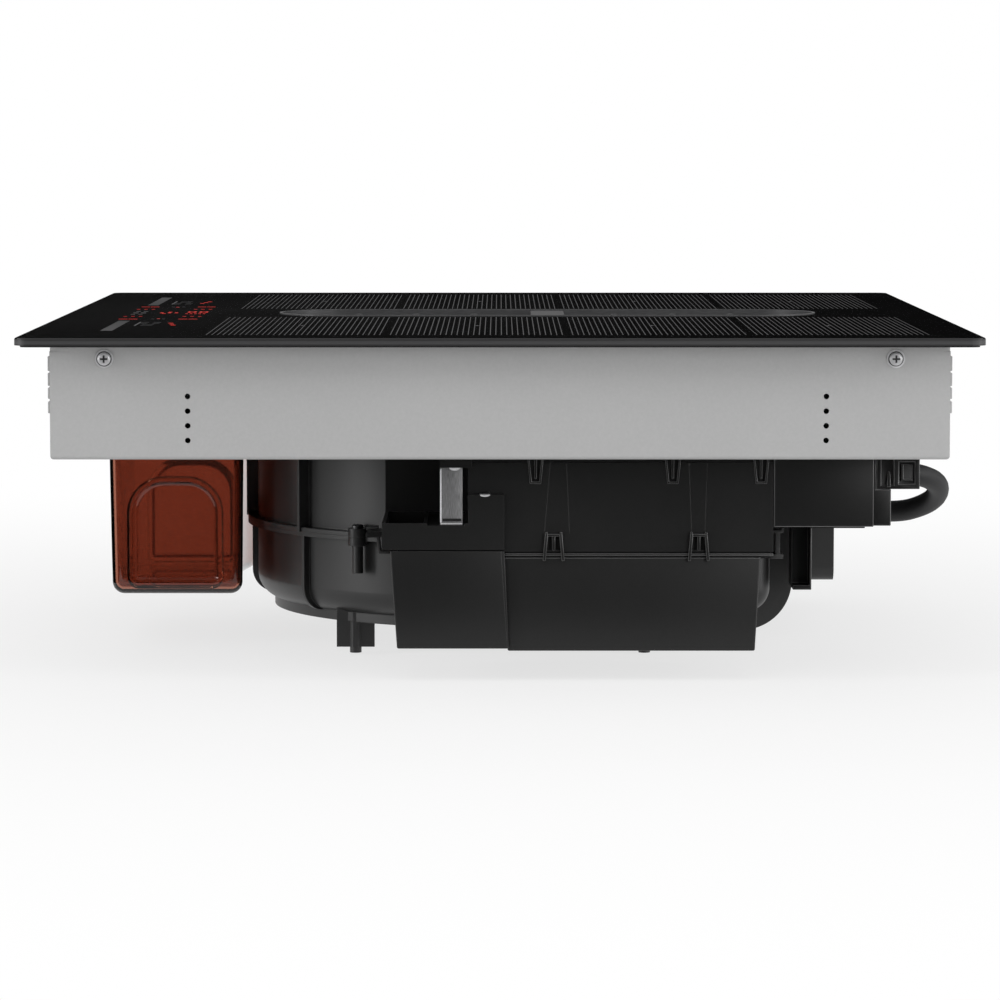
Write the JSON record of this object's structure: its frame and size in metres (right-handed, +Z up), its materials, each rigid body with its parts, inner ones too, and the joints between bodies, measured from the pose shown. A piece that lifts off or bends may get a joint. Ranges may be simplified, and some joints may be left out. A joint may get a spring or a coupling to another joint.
{
  "type": "induction cooktop",
  "caption": "Drop-in induction cooktop with a built-in downdraft extractor: black glass with a slotted air inlet, sheet-steel casing, blower scroll, liquid tank and rear exhaust spigot.",
  "frame": {"origin": "middle of the glass in X and Y, at the underside of the sealing tape, where the rim of the glass rests on the worktop", "axes": "+X to the right of a cook who faces the controls, +Y from the controls at the front to the exhaust at the back, +Z up through the glass"},
  "size_m": [0.59, 0.52, 0.1927],
  "materials": {
    "black_glass": "polished black glass-ceramic with printed grey lines",
    "foam_tape": "closed-cell foam",
    "rim_metal": "fine satin",
    "grille_grey": "satin dark grey coat",
    "galvanised_sheet": "dull galvanised sheet",
    "bright_steel": "bright zinc",
    "aluminium_sheet": "mill finish",
    "black_plastic": "satin moulded black",
    "grey_plastic": "plain moulded",
    "dark_plastic": "plain moulded",
    "copper_litz": "varnished litz wire",
    "ferrite": "dull pressed ferrite",
    "mica": "flaky mineral sheet",
    "sensor_rubber": "silicone",
    "board": "lacquered circuit board",
    "display": "tinted window",
    "capacitor_can": "sleeved can",
    "motor_steel": "passivated",
    "bronze": "sintered",
    "rubber": "moulded",
    "amber_plastic": "clear moulded, red-brown tint"
  },
  "bodies": {
    "hob": {"glass_top": "black_glass", "edge_seal": "foam_tape", "vent_rim": "rim_metal", "well_gasket": "foam_tape", "air_well": "black_plastic", "casing_tray": "galvanised_sheet", "casing_screws": "bright_steel", "corner_brackets": "galvanised_sheet", "coil_windings": "copper_litz", "coil_formers": "grey_plastic", "coil_ferrites": "ferrite", "coil_sensors": "sensor_rubber", "mica_sheets": "mica", "coil_trays": "aluminium_sheet", "casing_posts": "bright_steel", "leaf_springs": "bright_steel", "touch_board": "board", "touch_holder": "grey_plastic", "display_modules": "display", "power_boards": "board", "heat_sinks": "aluminium_sheet", "bus_capacitors": "capacitor_can", "filter_chokes": "copper_litz", "cooling_fan_frames": "dark_plastic", "blower_gasket": "foam_tape", "blower_upper_shell": "black_plastic", "blower_lower_shell": "black_plastic", "blower_shell_screws": "bright_steel", "blower_inlet_ring": "black_plastic", "motor_stator": "motor_steel", "motor_bearings": "bronze", "motor_plate": "motor_steel", "motor_bushes": "rubber", "outlet_duct_near_shell": "black_plastic", "outlet_duct_far_shell": "black_plastic", "exhaust_spigot": "black_plastic", "control_box_upper": "black_plastic", "control_box_lower": "black_plastic", "small_box": "black_plastic", "support_tray": "black_plastic", "tray_screws": "bright_steel", "hanger_strap": "bright_steel", "cable_channel": "black_plastic", "connector_hood": "black_plastic", "junction_box": "black_plastic", "power_lead": "rubber", "lead_glands": "rubber", "driver_board": "board", "transformer": "dark_plastic", "terminal_block": "dark_plastic", "tank_collar": "black_plastic"},
    "grille": {"vent_grille": "grille_grey"},
    "filter": {"grease_filter_frame": "aluminium_sheet", "grease_filter_mesh": "aluminium_sheet"},
    "tank": {"liquid_tank": "amber_plastic"},
    "left_fan": {"cooling_fan_left": "grey_plastic"},
    "right_fan": {"cooling_fan_right": "grey_plastic"},
    "blower_wheel": {"impeller": "grey_plastic", "motor_rotor": "motor_steel", "motor_shaft": "motor_steel"}
  },
  "joints": [
    {"name": "grille_lift", "type": "slide", "parent": "hob", "child": "grille", "axis": [0, 0, 1], "range_m": [0, 0.09]},
    {"name": "filter_lift", "type": "slide", "parent": "hob", "child": "filter", "axis": [0, 0, 1], "range_m": [0, 0.063]},
    {"name": "tank_drop", "type": "slide", "parent": "hob", "child": "tank", "axis": [0, 0, -1], "range_m": [0, 0.06]},
    {"name": "blower_spin", "type": "hinge", "parent": "hob", "child": "blower_wheel", "pos_m": [0, 0, -0.1], "axis": [0, 0, 1], "continuous": true},
    {"name": "left_fan_spin", "type": "hinge", "parent": "hob", "child": "left_fan", "pos_m": [-0.1575, -0.182, -0.05], "axis": [0, 0, 1], "continuous": true},
    {"name": "right_fan_spin", "type": "hinge", "parent": "hob", "child": "right_fan", "pos_m": [0.1575, -0.182, -0.05], "axis": [0, 0, 1], "continuous": true}
  ],
  "couplings": [
    {"joint": "filter_lift", "follows": "grille_lift", "ratio": 0.7}
  ]
}
